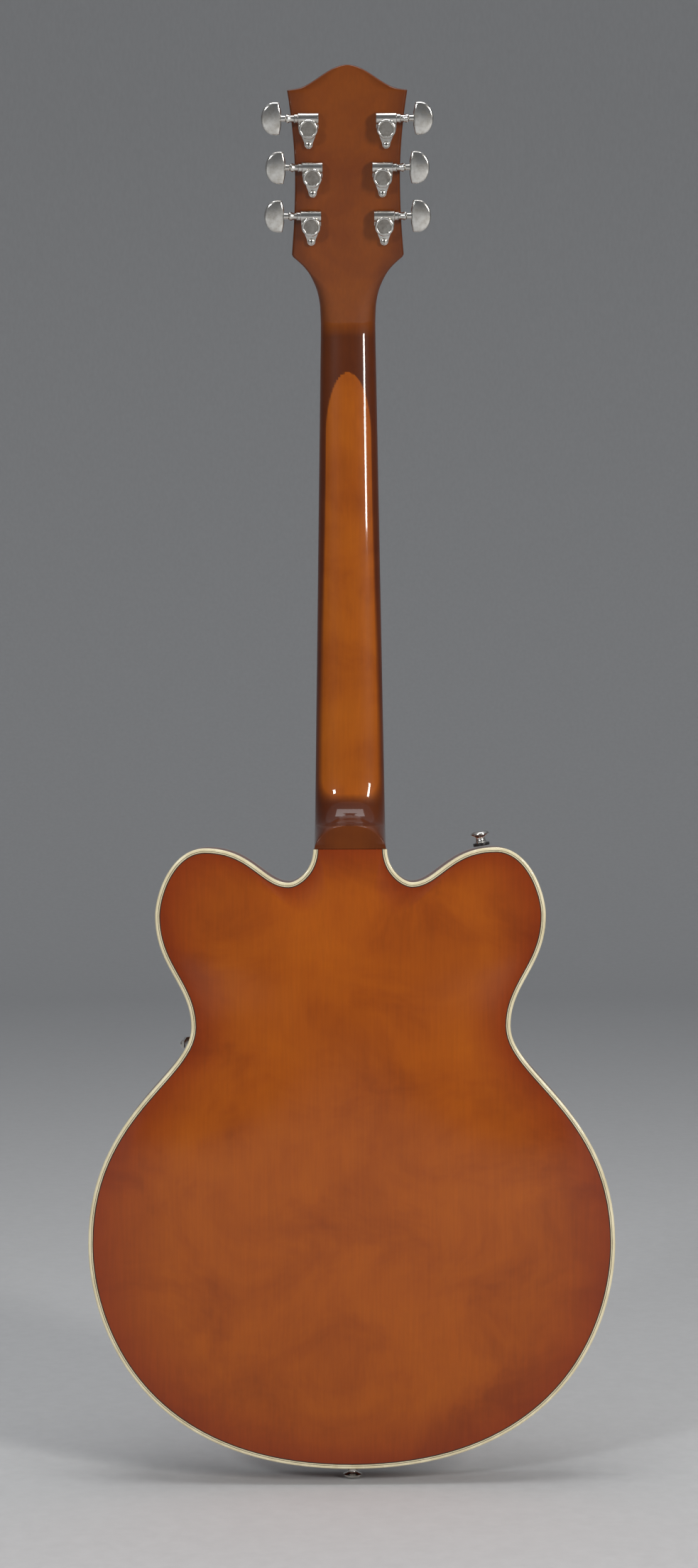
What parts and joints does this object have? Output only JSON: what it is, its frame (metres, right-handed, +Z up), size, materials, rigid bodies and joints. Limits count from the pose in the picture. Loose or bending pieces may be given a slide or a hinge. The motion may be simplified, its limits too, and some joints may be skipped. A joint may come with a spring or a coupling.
{
  "type": "semi-hollow electric guitar",
  "caption": "Double-cutaway semi-hollow electric guitar with arched top and back, center block, bound body, geared tuners, floating guard and adjustable bridge.",
  "frame": {"origin": "where a wall hanger's yoke holds the headstock, on the centreline in the middle of its thickness", "axes": "+Z up along the body and neck towards the headstock, +Y out of the face with the strings, +X towards the bass side"},
  "size_m": [0.4064, 0.1166, 1.0864],
  "materials": {
    "body_wood": "gloss amber-brown lacquer over maple",
    "rim_wood": "gloss amber-brown lacquer over maple",
    "block_wood": "bare maple",
    "binding": "aged cream, polished, with dark purfling lines",
    "neck_wood": "gloss dark amber-brown lacquer",
    "fingerboard": "oiled rosewood with nickel-silver frets",
    "bone": "polished bone",
    "steel": "plain steel",
    "string_wire": "bright wire",
    "nickel": "polished nickel plate",
    "black_plastic": "satin black",
    "guard": "gloss black",
    "amber": "clear amber",
    "cream_plastic": "aged cream"
  },
  "bodies": {
    "root": {"back_binding": "binding", "back_plate": "body_wood", "bridge": "nickel", "bridge_post_bass": "nickel", "bridge_post_treble": "nickel", "center_block": "block_wood", "control_harness": "steel", "fingerboard": "fingerboard", "neck": "neck_wood", "nut": "bone", "output_jack": "nickel", "pickguard": "guard", "pickguard_bracket": "nickel", "pickup_bridge": "nickel", "pickup_neck": "nickel", "pickup_ring_bridge": "black_plastic", "pickup_ring_neck": "black_plastic", "rim": "rim_wood", "strap_button_end": "nickel", "strap_button_horn": "nickel", "string_1": "string_wire", "string_2": "string_wire", "string_3": "string_wire", "string_4": "string_wire", "string_5": "string_wire", "string_6": "string_wire", "tailpiece": "nickel", "toggle_switch": "nickel", "top_binding": "binding", "top_plate": "body_wood", "truss_rod": "steel", "truss_rod_cover": "black_plastic", "tuner_housing_bass_1": "nickel", "tuner_housing_bass_2": "nickel", "tuner_housing_bass_3": "nickel", "tuner_housing_treble_1": "nickel", "tuner_housing_treble_2": "nickel", "tuner_housing_treble_3": "nickel"},
    "knob_tone": {"knob_tone": "amber"},
    "knob_volume_bridge": {"knob_volume_bridge": "amber"},
    "knob_volume_neck": {"knob_volume_neck": "amber"},
    "saddle_1": {"saddle_1": "nickel"},
    "saddle_2": {"saddle_2": "nickel"},
    "saddle_3": {"saddle_3": "nickel"},
    "saddle_4": {"saddle_4": "nickel"},
    "saddle_5": {"saddle_5": "nickel"},
    "saddle_6": {"saddle_6": "nickel"},
    "toggle_lever": {"toggle_lever": "cream_plastic"},
    "tuner_button_bass_1": {"tuner_button_bass_1": "nickel"},
    "tuner_button_bass_2": {"tuner_button_bass_2": "nickel"},
    "tuner_button_bass_3": {"tuner_button_bass_3": "nickel"},
    "tuner_button_treble_1": {"tuner_button_treble_1": "nickel"},
    "tuner_button_treble_2": {"tuner_button_treble_2": "nickel"},
    "tuner_button_treble_3": {"tuner_button_treble_3": "nickel"},
    "tuner_post_bass_1": {"tuner_post_bass_1": "nickel"},
    "tuner_post_bass_2": {"tuner_post_bass_2": "nickel"},
    "tuner_post_bass_3": {"tuner_post_bass_3": "nickel"},
    "tuner_post_treble_1": {"tuner_post_treble_1": "nickel"},
    "tuner_post_treble_2": {"tuner_post_treble_2": "nickel"},
    "tuner_post_treble_3": {"tuner_post_treble_3": "nickel"}
  },
  "joints": [
    {"name": "knob_tone_turn", "type": "hinge", "parent": "root", "child": "knob_tone", "pos_m": [-0.138, 0.0106, -0.79167], "axis": [0, 1, 0], "range_deg": [-140, 140]},
    {"name": "knob_volume_bridge_turn", "type": "hinge", "parent": "root", "child": "knob_volume_bridge", "pos_m": [-0.152, 0.0106, -0.74167], "axis": [0, 1, 0], "range_deg": [-140, 140]},
    {"name": "knob_volume_neck_turn", "type": "hinge", "parent": "root", "child": "knob_volume_neck", "pos_m": [-0.112, 0.0106, -0.76367], "axis": [0, 1, 0], "range_deg": [-140, 140]},
    {"name": "saddle_1_slide", "type": "slide", "parent": "root", "child": "saddle_1", "axis": [0, 0, 1], "range_m": [-0.0006, 0.0034]},
    {"name": "saddle_2_slide", "type": "slide", "parent": "root", "child": "saddle_2", "axis": [0, 0, 1], "range_m": [-0.0012, 0.0028]},
    {"name": "saddle_3_slide", "type": "slide", "parent": "root", "child": "saddle_3", "axis": [0, 0, 1], "range_m": [-0.0018, 0.0022]},
    {"name": "saddle_4_slide", "type": "slide", "parent": "root", "child": "saddle_4", "axis": [0, 0, 1], "range_m": [-0.001, 0.003]},
    {"name": "saddle_5_slide", "type": "slide", "parent": "root", "child": "saddle_5", "axis": [0, 0, 1], "range_m": [-0.0016, 0.0024]},
    {"name": "saddle_6_slide", "type": "slide", "parent": "root", "child": "saddle_6", "axis": [0, 0, 1], "range_m": [-0.0024, 0.0016]},
    {"name": "toggle_lever_tilt", "type": "hinge", "parent": "root", "child": "toggle_lever", "pos_m": [0.1, 0.03259, -0.51367], "axis": [1, 0, 0], "range_deg": [-13, 13]},
    {"name": "tuner_button_bass_1_turn", "type": "hinge", "parent": "root", "child": "tuner_button_bass_1", "pos_m": [0.028, -0.02616, 0.04282], "axis": [1, 0, 0], "continuous": true},
    {"name": "tuner_button_bass_2_turn", "type": "hinge", "parent": "root", "child": "tuner_button_bass_2", "pos_m": [0.0267, -0.03675, 0.07744], "axis": [1, 0, 0], "continuous": true},
    {"name": "tuner_button_bass_3_turn", "type": "hinge", "parent": "root", "child": "tuner_button_bass_3", "pos_m": [0.0295, -0.04733, 0.11206], "axis": [1, 0, 0], "continuous": true},
    {"name": "tuner_button_treble_1_turn", "type": "hinge", "parent": "root", "child": "tuner_button_treble_1", "pos_m": [-0.028, -0.02616, 0.04282], "axis": [1, 0, 0], "continuous": true},
    {"name": "tuner_button_treble_2_turn", "type": "hinge", "parent": "root", "child": "tuner_button_treble_2", "pos_m": [-0.0267, -0.03675, 0.07744], "axis": [1, 0, 0], "continuous": true},
    {"name": "tuner_button_treble_3_turn", "type": "hinge", "parent": "root", "child": "tuner_button_treble_3", "pos_m": [-0.0295, -0.04733, 0.11206], "axis": [1, 0, 0], "continuous": true},
    {"name": "tuner_post_bass_1_turn", "type": "hinge", "parent": "root", "child": "tuner_post_bass_1", "pos_m": [0.028, -0.00481, 0.0414], "axis": [0, 0.9563, 0.2924], "continuous": true},
    {"name": "tuner_post_bass_2_turn", "type": "hinge", "parent": "root", "child": "tuner_post_bass_2", "pos_m": [0.0267, -0.0154, 0.07602], "axis": [0, 0.9563, 0.2924], "continuous": true},
    {"name": "tuner_post_bass_3_turn", "type": "hinge", "parent": "root", "child": "tuner_post_bass_3", "pos_m": [0.0295, -0.02598, 0.11064], "axis": [0, 0.9563, 0.2924], "continuous": true},
    {"name": "tuner_post_treble_1_turn", "type": "hinge", "parent": "root", "child": "tuner_post_treble_1", "pos_m": [-0.028, -0.00481, 0.0414], "axis": [0, 0.9563, 0.2924], "continuous": true},
    {"name": "tuner_post_treble_2_turn", "type": "hinge", "parent": "root", "child": "tuner_post_treble_2", "pos_m": [-0.0267, -0.0154, 0.07602], "axis": [0, 0.9563, 0.2924], "continuous": true},
    {"name": "tuner_post_treble_3_turn", "type": "hinge", "parent": "root", "child": "tuner_post_treble_3", "pos_m": [-0.0295, -0.02598, 0.11064], "axis": [0, 0.9563, 0.2924], "continuous": true}
  ],
  "couplings": [
    {"joint": "tuner_post_bass_1_turn", "follows": "tuner_button_bass_1_turn", "ratio": 0.071429},
    {"joint": "tuner_post_bass_2_turn", "follows": "tuner_button_bass_2_turn", "ratio": 0.071429},
    {"joint": "tuner_post_bass_3_turn", "follows": "tuner_button_bass_3_turn", "ratio": 0.071429},
    {"joint": "tuner_post_treble_1_turn", "follows": "tuner_button_treble_1_turn", "ratio": 0.071429},
    {"joint": "tuner_post_treble_2_turn", "follows": "tuner_button_treble_2_turn", "ratio": 0.071429},
    {"joint": "tuner_post_treble_3_turn", "follows": "tuner_button_treble_3_turn", "ratio": 0.071429}
  ]
}
